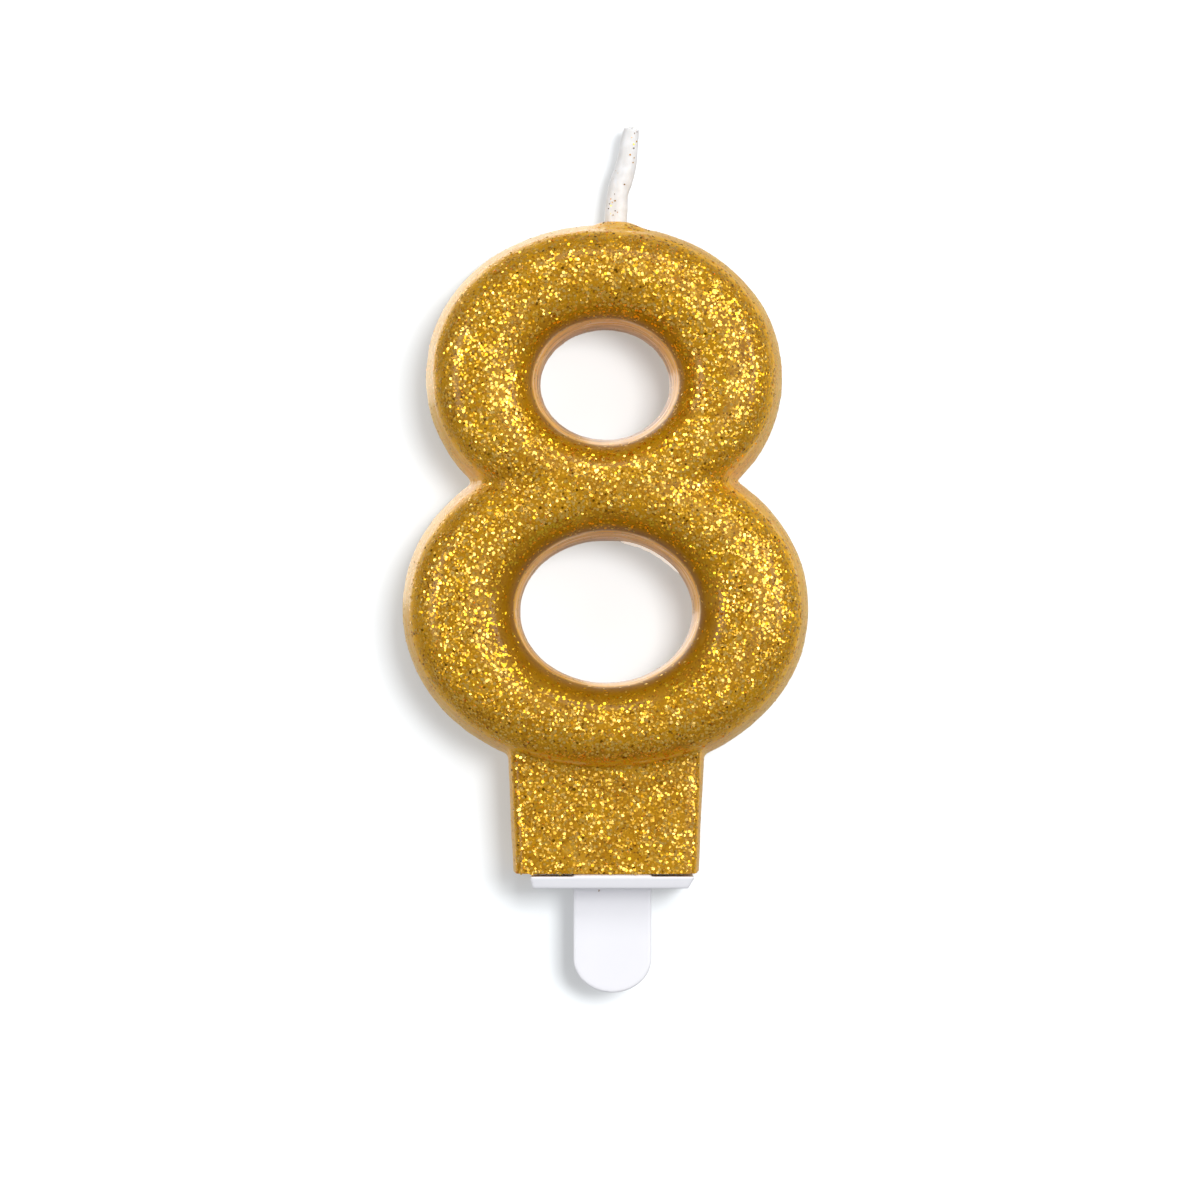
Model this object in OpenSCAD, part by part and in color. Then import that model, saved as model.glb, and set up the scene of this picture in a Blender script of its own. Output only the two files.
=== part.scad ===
// Number birthday candle: a figure eight cast in wax with a flat back, a film of glitter
// lacquer over its front and sides, a waxed cotton wick and a moulded pick for the cake.
//
// It stands upright as it does in a cake: +Z up, the figure's face towards -Y. The origin is
// on the blade's middle line, level with the underside of the pick's plate.

/* [Upper loop] */
// Height of the loop's centre above the plate's underside
upper_z = 53.1; // [52.6:0.1:53.6]
// Half width of the loop at the flat back
upper_half_w = 18.7; // [18.2:0.1:19.2]
// Half height of the loop at the flat back
upper_half_h = 16.0; // [15.6:0.1:16.4]
// Height of the hole's centre
upper_hole_z = 52.4; // [52.1:0.1:52.7]
// Half width of the hole at the flat back
upper_hole_half_w = 6.7; // [6.2:0.1:7.2]
// Half height of the hole at the flat back
upper_hole_half_h = 5.6; // [5.2:0.1:5.7]

/* [Lower loop] */
// Height of the loop's centre above the plate's underside
lower_z = 28.9; // [28.4:0.1:29.4]
// Half width of the loop at the flat back
lower_half_w = 21.3; // [20.8:0.1:21.8]
// Half height of the loop at the flat back
lower_half_h = 17.3; // [16.9:0.1:17.6]
// Height of the hole's centre
lower_hole_z = 28.6; // [28.3:0.1:28.9]
// Half width of the hole at the flat back
lower_hole_half_w = 8.95; // [8.5:0.05:9.4]
// Half height of the hole at the flat back
lower_hole_half_h = 7.45; // [7.1:0.05:7.6]

/* [Stroke] */
// How far the figure sits to one side of the pick's middle line
figure_x = -0.75; // [-1:0.05:1]
// Depth of the flat back behind the pick's middle plane
back_y = 3.9; // [3.6:0.1:4.2]
// Depth of the drafted side wall, from the back to the shoulder
wall_d = 6.5; // [6:0.1:7]
// How far the wall leans in over that depth, to let go of the mould
wall_draft = 0.9; // [0.6:0.1:1.1]
// Height of the rounded front above the shoulder
dome_h = 5.0; // [4.4:0.1:5.6]
// Fullness of the rounded front: 2 is an ellipse, more is squarer
dome_power = 2.2; // [2:0.1:2.6]

/* [Foot] */
// Height of the foot's underside
foot_bottom = 1.55; // [1.5:0.05:1.8]
// Width of the foot at its underside
foot_bottom_w = 19.0; // [18.4:0.1:19.6]
// Width of the foot where it meets the loop
foot_top_w = 20.2; // [19.8:0.1:20.6]
// Depth of the foot's flat front before the pick's middle plane
foot_front = 3.9; // [3.6:0.1:4.2]
// Radius of the foot's upright front edges
foot_edge_r = 1.2; // [0.8:0.1:1.6]

/* [Glitter coat] */
// Thickness of the lacquer film
coat_t = 0.2; // [0.15:0.05:0.3]

/* [Wick] */
// Depth of the wick behind the pick's middle plane
wick_y = 1.8; // [1.6:0.1:1.9]
// Radius of the braided cotton
braid_r = 0.55; // [0.5:0.05:0.6]
// Radius of the wick with its wax, where it leaves the figure; it thins towards its tip
wick_root_r = 1.15; // [1.1:0.05:1.15]

/* [Cake pick] */
// Width of the blade and of the tang
blade_w = 8.1; // [7.5:0.1:8.5]
// Thickness of the blade and of the tang
blade_t = 1.6; // [1.4:0.1:1.8]
// Length of the blade below the plate's underside
blade_l = 10.95; // [9:0.05:14]
// Width of the straight edge between the two curves of the blade's round end
blade_flat = 0.7; // [0.4:0.1:1.2]
// Length of the tang above the plate
tang_l = 10; // [8:0.5:10]
// How much the tang's top corners are cut off
tang_chamfer = 1.5; // [1:0.1:2]
// Width of the plate along its upper edge
plate_w = 17.1; // [16:0.1:18]
// Depth of the plate, front to back
plate_d = 8.0; // [7.6:0.1:8.4]
// Thickness of the plate
plate_t = 1.25; // [1.1:0.05:1.3]
// How much narrower the plate is at its underside, at each end
plate_taper = 0.25; // [0.1:0.05:0.4]
// Height of the low step at the tang's root, just under the wax
step_h = 0.25; // [0.1:0.05:0.25]

/* [Hidden] */

// Number of slices round a loop, and of steps over the rounded front
loop_slices = 64;
dome_steps = 12;
// Clearances: the hairline under the film, the slot round the tang, and the wick's joint
film_gap = 0.02;
tang_gap = 0.05;
joint_gap = 0.05;
channel_gap = 0.02;
// The blade and the tang run into the plate by this much, so that the three are one solid
overlap = 0.5;
// How far the step's faces stand back from the tang's edges and from the plate's front
step_setback = 0.1;
step_front = 0.3;
// Free room in the slot above the tang, for air and melted wax
slot_headroom = 0.3;
// The foot runs up into the lower loop by this height, where the loop hides it
foot_reach = 4;
foot_top = lower_z - lower_half_h + foot_reach;
// The wick's joint: the free wick ends in a knuckle that turns in a trough at the figure's top
pivot = [0.55, wick_y, upper_z + upper_half_h + 0.2];
knuckle_r = wick_root_r + 0.05;
knuckle_l = 1.5;
trough_r = knuckle_r + joint_gap;
// The stub that holds the trough: its top below the pivot, its length and its radius
stub_top = -0.6 * knuckle_r;
stub_l = 1.4;
stub_r = trough_r + 0.17;
// The well in the wax round the joint: its radius, how much deeper it is than the stub, and
// its height, which reaches out through the figure's top
well_r = stub_r + 0.08;
well_floor_gap = 0.1;
well_h = stub_l + 4;

// Each loop: outer centre, outer half axes, hole centre, hole half axes, all in X and Z
upper_loop = [[figure_x - 0.1, upper_z], [upper_half_w, upper_half_h],
              [figure_x, upper_hole_z], [upper_hole_half_w, upper_hole_half_h]];
lower_loop = [[figure_x + 0.05, lower_z], [lower_half_w, lower_half_h],
              [figure_x + 0.1, lower_hole_z], [lower_hole_half_w, lower_hole_half_h]];

// Middle line of the wick inside the wax, in X and Z: down round the left of the upper hole,
// across the waist, past the upper right of the lower hole and down the right stroke
core_route = [[0.4, 67.6], [-0.6, 66.4], [-3.5, 64.6], [-6.8, 62.2], [-9.6, 58.6], [-11, 54],
              [-10.6, 49.5], [-8.4, 45.8], [-5.2, 42.4], [-1.6, 39.4], [2.2, 37.6], [6, 36],
              [9.4, 33.4], [11.6, 29.8], [12.2, 25.6], [11.2, 21.4], [8.8, 18]];
// Middle line of the free wick, from the joint to the tip, with the radius at each point
free_route = [[0, 0, 1], [0.2, 3, 0.96], [0.55, 4.2, 0.98], [1, 5.4, 0.96], [1.3, 7, 0.9],
              [1.5, 9.2, 0.8], [1.52, 9.65, 0.74]];

function at_angle(centre, half, a) = [centre[0] + half[0] * cos(a), centre[1] + half[1] * sin(a)];
function bulge(v, power) = sign(v) * pow(abs(v), 2 / power);

// Cross-section of a stroke w wide, as distance across and depth from the back
function stroke_outline(w, skin) = concat(
    [[0, 0]],
    [for (i = [0:dome_steps]) let (a = 180 - 180 * i / dome_steps)
        [w / 2 + (w / 2 - wall_draft) * bulge(cos(a), dome_power),
         wall_d + (dome_h - skin) * bulge(sin(a), dome_power)]],
    [[w, 0]]);

// The cross-section of a loop at one angle, skin deep under the finished surface
function loop_section(loop, a, skin) =
    let (inner = at_angle(loop[2], loop[3] + [skin, skin], a),
         outer = at_angle(loop[0], loop[1] - [skin, skin], a),
         w = norm(outer - inner),
         along = (outer - inner) / w)
    [for (p = stroke_outline(w, skin)) let (q = inner + p[0] * along) [q[0], back_y - p[1], q[1]]];

// One solid slice between two neighbouring sections
module loop_slice(loop, a, skin) {
    ring = concat(loop_section(loop, a, skin), loop_section(loop, a + 360 / loop_slices, skin));
    hull() polyhedron(points = ring, faces = [[for (i = [0:len(ring) - 1]) i]]);
}

module loop_solid(loop, skin) {
    for (i = [0:loop_slices - 1]) loop_slice(loop, i * 360 / loop_slices, skin);
}

// Plan of the foot, w wide: round front edges and square back ones
module foot_plan(w, skin) {
    hull() {
        for (side = [-1, 1])
            translate([side * (w / 2 - foot_edge_r), -foot_front + foot_edge_r])
                circle(r = foot_edge_r - skin, $fn = 24);
        translate([skin - w / 2, 0]) square([w - 2 * skin, back_y]);
    }
}

module foot_solid(skin) {
    rise = (foot_top_w - foot_bottom_w) / (lower_z - lower_half_h - foot_bottom);
    top_w = foot_bottom_w + rise * (foot_top - foot_bottom);
    translate([figure_x, 0, 0]) hull() {
        translate([0, 0, foot_bottom]) linear_extrude(0.01) foot_plan(foot_bottom_w, skin);
        translate([0, 0, foot_top]) linear_extrude(0.01) foot_plan(top_w, skin);
    }
}

// The whole figure, skin deep under its finished surface
module figure_solid(skin) {
    loop_solid(upper_loop, skin);
    loop_solid(lower_loop, skin);
    foot_solid(skin);
}

// A tube along points given as [x, y, z, radius], closed at both ends
module tube(points, sides = 8) {
    n = len(points);
    place = [for (p = points) [p[0], p[1], p[2]]];
    way = [for (i = [0:n - 1]) let (d = place[min(i + 1, n - 1)] - place[max(i - 1, 0)]) d / norm(d)];
    // The route stays in a plane across Y, so Y is always square to it
    ring = [for (i = [0:n - 1]) for (k = [0:sides - 1]) let (a = 360 * k / sides)
        place[i] + points[i][3] * (cos(a) * cross([0, 1, 0], way[i]) + sin(a) * [0, 1, 0])];
    skin = [for (i = [0:n - 2]) for (k = [0:sides - 1]) let (m = (k + 1) % sides)
        [i * sides + k, (i + 1) * sides + k, (i + 1) * sides + m, i * sides + m]];
    ends = [[for (k = [0:sides - 1]) k], [for (k = [sides - 1:-1:0]) (n - 1) * sides + k]];
    polyhedron(points = ring, faces = concat(skin, ends));
}

module core_tube(r) {
    tube([for (p = core_route) [p[0], wick_y, p[1], r]]);
}

function free_wick(r, last) = [for (i = [0:last]) let (p = free_route[i])
    [pivot[0] + p[0], pivot[1], pivot[2] + p[1], r * p[2]]];

// The well that the wick's joint sits in
module wick_well(r) {
    translate(pivot + [0, 0, stub_top - stub_l - well_floor_gap]) cylinder(h = well_h, r = r, $fn = 48);
}

module tang(gap) {
    half = blade_w / 2 + gap;
    top = plate_t + tang_l + (gap > 0 ? slot_headroom : 0);
    translate([0, blade_t / 2 + gap, 0]) rotate([90, 0, 0])
        linear_extrude(blade_t + 2 * gap)
            polygon([[-half, -overlap], [half, -overlap], [half, top - tang_chamfer],
                     [half - tang_chamfer, top], [-half + tang_chamfer, top],
                     [-half, top - tang_chamfer]]);
}

// Cast paraffin figure, with the slot for the tang and the wick's channel
module wax_figure() {
    color("#c9a27a") difference() {
        figure_solid(coat_t);
        tang(tang_gap);
        core_tube(braid_r + channel_gap);
        wick_well(well_r);
    }
}

// Film of glitter lacquer over the front and the side walls
module glitter_coat() {
    color("#b8860b") difference() {
        figure_solid(0);
        figure_solid(coat_t - film_gap);
        wick_well(well_r);
    }
}

// A round bar across the wick, on the axis that it bends about
module bend_axis_bar(r, l) {
    translate(pivot) rotate([90, 0, 0]) cylinder(h = l, r = r, center = true, $fn = 48);
}

// Cotton core inside the wax, with the trough for the free wick at its top
module wick_core() {
    color("#efe9dc") difference() {
        union() {
            core_tube(braid_r);
            translate(pivot + [0, 0, stub_top - stub_l]) cylinder(h = stub_l, r = stub_r, $fn = 48);
        }
        bend_axis_bar(trough_r, 3 * stub_r);
    }
}

// Cotton in the free wick
module wick_braid() {
    color("#f3eee2") tube(free_wick(braid_r, 6));
}

// Wax round the free wick, with the knuckle that turns in the trough
module wick_wax() {
    color("#f6f3ee") difference() {
        union() {
            tube(free_wick(wick_root_r, 5), 12);
            bend_axis_bar(knuckle_r, knuckle_l);
        }
        tube(free_wick(braid_r + channel_gap, 6));
    }
}

// Moulded pick: blade, plate, step and tang in one
module cake_pick() {
    tip_r = (blade_w - blade_flat) / 2;
    color("#f3f2fb") union() {
        translate([0, blade_t / 2, 0]) rotate([90, 0, 0]) linear_extrude(blade_t) {
            translate([-blade_w / 2, tip_r - blade_l]) square([blade_w, blade_l - tip_r + overlap]);
            for (side = [-1, 1])
                translate([side * blade_flat / 2, tip_r - blade_l]) circle(r = tip_r, $fn = 64);
            translate([-blade_flat / 2, -blade_l]) square([blade_flat, tip_r]);
        }
        translate([0, plate_d / 2, 0]) rotate([90, 0, 0]) linear_extrude(plate_d)
            polygon([[-plate_w / 2 + plate_taper, 0], [plate_w / 2 - plate_taper, 0],
                     [plate_w / 2, plate_t], [-plate_w / 2, plate_t]]);
        translate([-blade_w / 2 + step_setback, -plate_d / 2 + step_front, plate_t - overlap])
            cube([blade_w - 2 * step_setback, plate_d - 2 * step_front, step_h + overlap]);
        tang(0);
    }
}

wax_figure();
glitter_coat();
wick_core();
wick_braid();
wick_wax();
cake_pick();
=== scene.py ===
# %% [markdown]
# # A number birthday candle
#
# The object is a wax figure eight on a flat plastic pick. The wax was poured into an open
# mould, so its back is flat, its side walls lean in a little and its front is round. Gold
# glitter lacquer covers the front thickly and the side walls thinly. A waxed cotton wick
# stands out of the top. This script dresses the CAD frame: it makes the wax as one soft
# skin, scatters real flakes on it, and models the wick and the pick.

# %% Load the frame
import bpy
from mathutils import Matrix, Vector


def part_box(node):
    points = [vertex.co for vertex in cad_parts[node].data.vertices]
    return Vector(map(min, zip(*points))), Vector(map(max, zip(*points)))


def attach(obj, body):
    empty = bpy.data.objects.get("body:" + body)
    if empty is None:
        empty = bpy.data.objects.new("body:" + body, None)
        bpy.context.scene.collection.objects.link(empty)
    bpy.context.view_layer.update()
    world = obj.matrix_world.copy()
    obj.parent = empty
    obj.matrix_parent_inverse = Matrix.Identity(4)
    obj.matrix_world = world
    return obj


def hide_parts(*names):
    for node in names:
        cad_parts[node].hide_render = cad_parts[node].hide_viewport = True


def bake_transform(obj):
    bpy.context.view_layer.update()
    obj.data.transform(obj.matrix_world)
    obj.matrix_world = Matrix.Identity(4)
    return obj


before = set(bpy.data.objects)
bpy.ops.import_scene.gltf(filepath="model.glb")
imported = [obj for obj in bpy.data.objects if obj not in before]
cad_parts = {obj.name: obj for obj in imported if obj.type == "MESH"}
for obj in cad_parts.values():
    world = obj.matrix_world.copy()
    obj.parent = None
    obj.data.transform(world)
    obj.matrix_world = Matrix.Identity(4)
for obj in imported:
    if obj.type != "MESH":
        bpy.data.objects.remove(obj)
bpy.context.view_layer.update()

# %% [markdown]
# ## Units and helpers
#
# Blender works in metres, and the candle is only 90 mm high. It is easier to think and to
# model in millimetres, so each piece is built in millimetres and its mesh is scaled once at
# the end. The object itself stays unscaled, which keeps its textures true.

# %% Helpers for making pieces
import math
import bmesh
import bpy
import numpy as np
from mathutils import Matrix, Vector, noise

MM = 0.001


def piece_from(bm, name):
    """A new object that holds this bmesh, still in millimetres."""
    mesh = bpy.data.meshes.new(name)
    bm.to_mesh(mesh)
    bm.free()
    piece = bpy.data.objects.new(name, mesh)
    bpy.context.collection.objects.link(piece)
    return piece


def apply_modifiers(piece):
    """Turn the modifiers' result into the piece's own mesh."""
    depsgraph = bpy.context.evaluated_depsgraph_get()
    mesh = bpy.data.meshes.new_from_object(piece.evaluated_get(depsgraph))
    old = piece.data
    piece.modifiers.clear()
    piece.data = mesh
    bpy.data.meshes.remove(old)
    mesh.name = piece.name


def finish_piece(piece, material, replaces=(), smooth=True):
    """Scale the mesh to metres, give it its finish and hide the CAD parts that it stands for."""
    piece.data.transform(Matrix.Scale(MM, 4))
    piece.data.materials.clear()
    piece.data.materials.append(material)
    piece.data.polygons.foreach_set("use_smooth", [smooth] * len(piece.data.polygons))
    if replaces:
        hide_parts(*replaces)
    bpy.context.view_layer.update()
    size = [round(side / MM, 2) for side in piece.dimensions]
    print(f"{piece.name}: {len(piece.data.polygons)} faces, {size} mm")


# %% [markdown]
# ## Camera
#
# The camera looks straight at the face of the figure from 0.6 m, which is how far a small
# thing is usually shot with a long lens. The lens follows from the width that the picture
# takes in at that distance. The wick's free end is only 10 mm long and the rest of it is held
# in the wax, so there is no loose cord to lay out.

# %% Camera
camera_distance = 600 * MM
picture_width = 124.8 * MM
camera_data = bpy.data.cameras.new("camera")
camera_data.sensor_width = 36
camera_data.lens = camera_data.sensor_width * camera_distance / picture_width
camera_data.clip_start = 0.05
camera = bpy.data.objects.new("camera", camera_data)
camera.location = (-1.28 * MM, -camera_distance, 29.83 * MM)
camera.rotation_euler = (math.radians(90), 0, 0)
bpy.context.collection.objects.link(camera)
bpy.context.scene.camera = camera
print("lens", round(camera_data.lens, 1), "mm")

# %% [markdown]
# ## Light and backdrop
#
# Glitter only sparkles when it has something bright to mirror and something dark next to it.
# So the room is soft and rather dim, and soft boxes stand round the candle: the key in front
# and to the right, one at each side, one above, and a weak one behind for the flat back. The
# pale card stands just behind the candle, like a table under a candle that lies down. It is
# one-sided, so that it doesn't hide the candle's back. A light of its own lights only the
# card. It stands to the right and a little high, so the soft shadow falls to the lower left.

# %% Light and backdrop
light_distance = 0.9


def soft_box(name, direction, width, height, power):
    """An area light that looks at the figure's middle from that direction."""
    middle = Vector((-0.75, 0, 35)) * MM
    data = bpy.data.lights.new(name, "AREA")
    data.shape = "RECTANGLE"
    data.size, data.size_y = width, height
    data.energy = power
    light = bpy.data.objects.new(name, data)
    light.location = middle + Vector(direction).normalized() * light_distance
    light.rotation_euler = (light.location - middle).to_track_quat("Z", "Y").to_euler()
    bpy.context.collection.objects.link(light)
    return light


soft_box("key_light", (0.42, -1, 0.20), width=0.6, height=0.6, power=2.6)
soft_box("right_light", (0.92, -0.62, 0.2), width=0.24, height=0.6, power=3.0)
soft_box("left_light", (-0.92, -0.62, 0.12), width=0.24, height=0.6, power=3.0)
soft_box("top_light", (0.05, -0.75, 1), width=0.6, height=0.3, power=2.6)
soft_box("back_light", (-0.3, 1, 0.35), width=0.6, height=0.6, power=1.6)

# The room's light, and how bright the dim room looks in the flakes' mirrors
room_light = 0.38
room_in_mirrors = 0.4
world = bpy.data.worlds.new("studio")
world.use_nodes = True
bpy.context.scene.world = world
nodes, links = world.node_tree.nodes, world.node_tree.links
nodes.clear()
output = nodes.new("ShaderNodeOutputWorld")
seen = nodes.new("ShaderNodeBackground")
seen.inputs["Color"].default_value = (1, 1, 1, 1)
lighting = nodes.new("ShaderNodeBackground")
lighting.inputs["Color"].default_value = (0.95, 0.97, 1, 1)
either = nodes.new("ShaderNodeMixShader")
path = nodes.new("ShaderNodeLightPath")
dimmer = nodes.new("ShaderNodeMapRange")
dimmer.inputs["To Min"].default_value = room_light
dimmer.inputs["To Max"].default_value = room_in_mirrors
links.new(path.outputs["Is Glossy Ray"], dimmer.inputs["Value"])
links.new(dimmer.outputs[0], lighting.inputs["Strength"])
links.new(path.outputs["Is Camera Ray"], either.inputs["Fac"])
links.new(lighting.outputs[0], either.inputs[1])
links.new(seen.outputs[0], either.inputs[2])
links.new(either.outputs[0], output.inputs["Surface"])

bpy.context.scene.view_settings.view_transform = "Standard"


def one_sided_card():
    """Pale card: seen from the front, clear from behind."""
    material = bpy.data.materials.new("pale_card")
    material.use_nodes = True
    nodes, links = material.node_tree.nodes, material.node_tree.links
    shader = nodes["Principled BSDF"]
    shader.inputs["Base Color"].default_value = (0.39, 0.406, 0.418, 1)
    shader.inputs["Roughness"].default_value = 0.9
    shader.inputs["Emission Color"].default_value = (1, 1, 1, 1)
    shader.inputs["Emission Strength"].default_value = 0.29
    clear = nodes.new("ShaderNodeBsdfTransparent")
    side = nodes.new("ShaderNodeNewGeometry")
    mix = nodes.new("ShaderNodeMixShader")
    links.new(side.outputs["Backfacing"], mix.inputs["Fac"])
    links.new(shader.outputs[0], mix.inputs[1])
    links.new(clear.outputs[0], mix.inputs[2])
    links.new(mix.outputs[0], nodes["Material Output"].inputs["Surface"])
    return material


card_gap = 0.35 * MM
card_height = 30 * MM
# This one is in plain millimetres, because the whole grid is scaled to metres below
card_half_width = 250
bm = bmesh.new()
bmesh.ops.create_grid(bm, x_segments=1, y_segments=1, size=card_half_width)
upright = Matrix.Rotation(math.radians(90), 3, "X")
bmesh.ops.rotate(bm, verts=bm.verts, cent=(0, 0, 0), matrix=upright)
card = piece_from(bm, "backdrop")
card.data.transform(Matrix.Scale(MM, 4))
card_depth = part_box("wax_figure")[1].y + card_gap
card.data.transform(Matrix.Translation((0, card_depth, card_height)))
card.data.materials.append(one_sided_card())
card.visible_diffuse = False
card.visible_glossy = False
card.visible_shadow = False
card_light = soft_box("card_light", (0.36, -1, 0.2), width=0.28, height=0.28, power=10)
lit_card = bpy.data.collections.new("lit_card")
lit_card.objects.link(card)
card_light.light_linking.receiver_collection = lit_card
print("card faces", [round(c, 2) for c in card.data.polygons[0].normal])

# %% [markdown]
# ## Finishes
#
# Wax lets a little light in and scatters it, so its edges glow. Subsurface scattering does
# that. The lacquer over it is full of flakes. The larger ones are modelled further on, and
# the finest, a fifth of a millimetre across, are drawn here: a Voronoi pattern splits the
# surface into cells, and each cell gets a colour and a tilt of its own, so it flashes or
# stays dark as a separate chip does. The sprayer faced the front, so the side walls got
# little lacquer, and the peach wax shows there with fine lines along the wall. Some light
# and shade is painted too: shade on the lips and walls of the holes, bounce light on the
# walls' gold, and dark reflections in a few chips.

# %% Helpers for materials
def new_material(name):
    """A material with its node tree, its Principled shader and a node maker."""
    material = bpy.data.materials.new(name)
    material.use_nodes = True
    tree = material.node_tree

    def node(kind, **inputs):
        made = tree.nodes.new("ShaderNode" + kind)
        for key, value in inputs.items():
            socket = made.inputs[key.replace("_", " ")]
            if isinstance(value, bpy.types.NodeSocket):
                tree.links.new(value, socket)
            else:
                socket.default_value = value
        return made

    return material, tree, tree.nodes["Principled BSDF"], node


def math_node(node, operation, first, second=None, third=None):
    """The result of a sum, product or comparison of two or three values."""
    made = node("Math")
    made.operation = operation
    for socket, value in zip(made.inputs, (first, second, third)):
        if isinstance(value, bpy.types.NodeSocket):
            made.id_data.links.new(value, socket)
        elif value is not None:
            socket.default_value = value
    return made.outputs[0]


def colour_mix(node, factor, first, second):
    """One colour over another by that factor, from 0 to 1."""
    made = node("Mix")
    made.data_type = "RGBA"
    for index, value in ((0, factor), (6, first), (7, second)):
        if isinstance(value, bpy.types.NodeSocket):
            made.id_data.links.new(value, made.inputs[index])
        else:
            made.inputs[index].default_value = value
    return made.outputs[2]


def smooth_step(node, value, low, high):
    """0 below low, 1 above high and a soft change between."""
    made = node("MapRange", Value=value, From_Min=low, From_Max=high)
    made.interpolation_type = "SMOOTHSTEP"
    return made.outputs[0]


# %% Wax with glitter lacquer
lacquer_gold = (0.385, 0.178, 0.0008, 1)
lacquer_deep = (0.29, 0.12, 0.0004, 1)
bare_patch = (0.46, 0.235, 0.018, 1)
# Painted shade, laid on the lacquer by the lip of a hole
painted_lip_shade = (0.18, 0.077, 0.0004, 1)
# The wall's gold, partly its own colour and partly painted light: it is made bright to stand in
# for bounce light
gold_wall_with_painted_bounce = (0.90, 0.46, 0.010, 1)
peach_wax = (0.98, 0.60, 0.17, 1)
# Painted shade: the bare wax in a hole, darker than on the outer wall
peach_painted_shade_in_hole = (0.63, 0.42, 0.26, 1)
pale_line = (0.95, 0.68, 0.38, 1)
dark_line = (0.45, 0.23, 0.08, 1)
mottle_gold = (0.58, 0.29, 0.002, 1)
chip_golds = ((0.90, 0.44, 0.01, 1), (1, 0.60, 0.10, 1))
chip_by_hole = (0.82, 0.48, 0.02, 1)
# Painted dark reflection, for the few chips that are drawn dark
chip_painted_dark_reflection = (0.20, 0.085, 0.001, 1)
fine_chip = 0.19 * MM
# Shares: how much of each look there is, from 0 to 1
# The second share is how strongly painted shade lies by a hole
mottle_share, painted_shade_share = 0.45, 0.66
line_share, extra_line_share_by_hole = 0.35, 0.5
shining_on_wall, extra_shining_on_front = 0.12, 0.13
# Chips over this are drawn dark, as painted dark reflections
painted_dark_chips_over = 0.955
chip_tilt = 0.7


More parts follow.
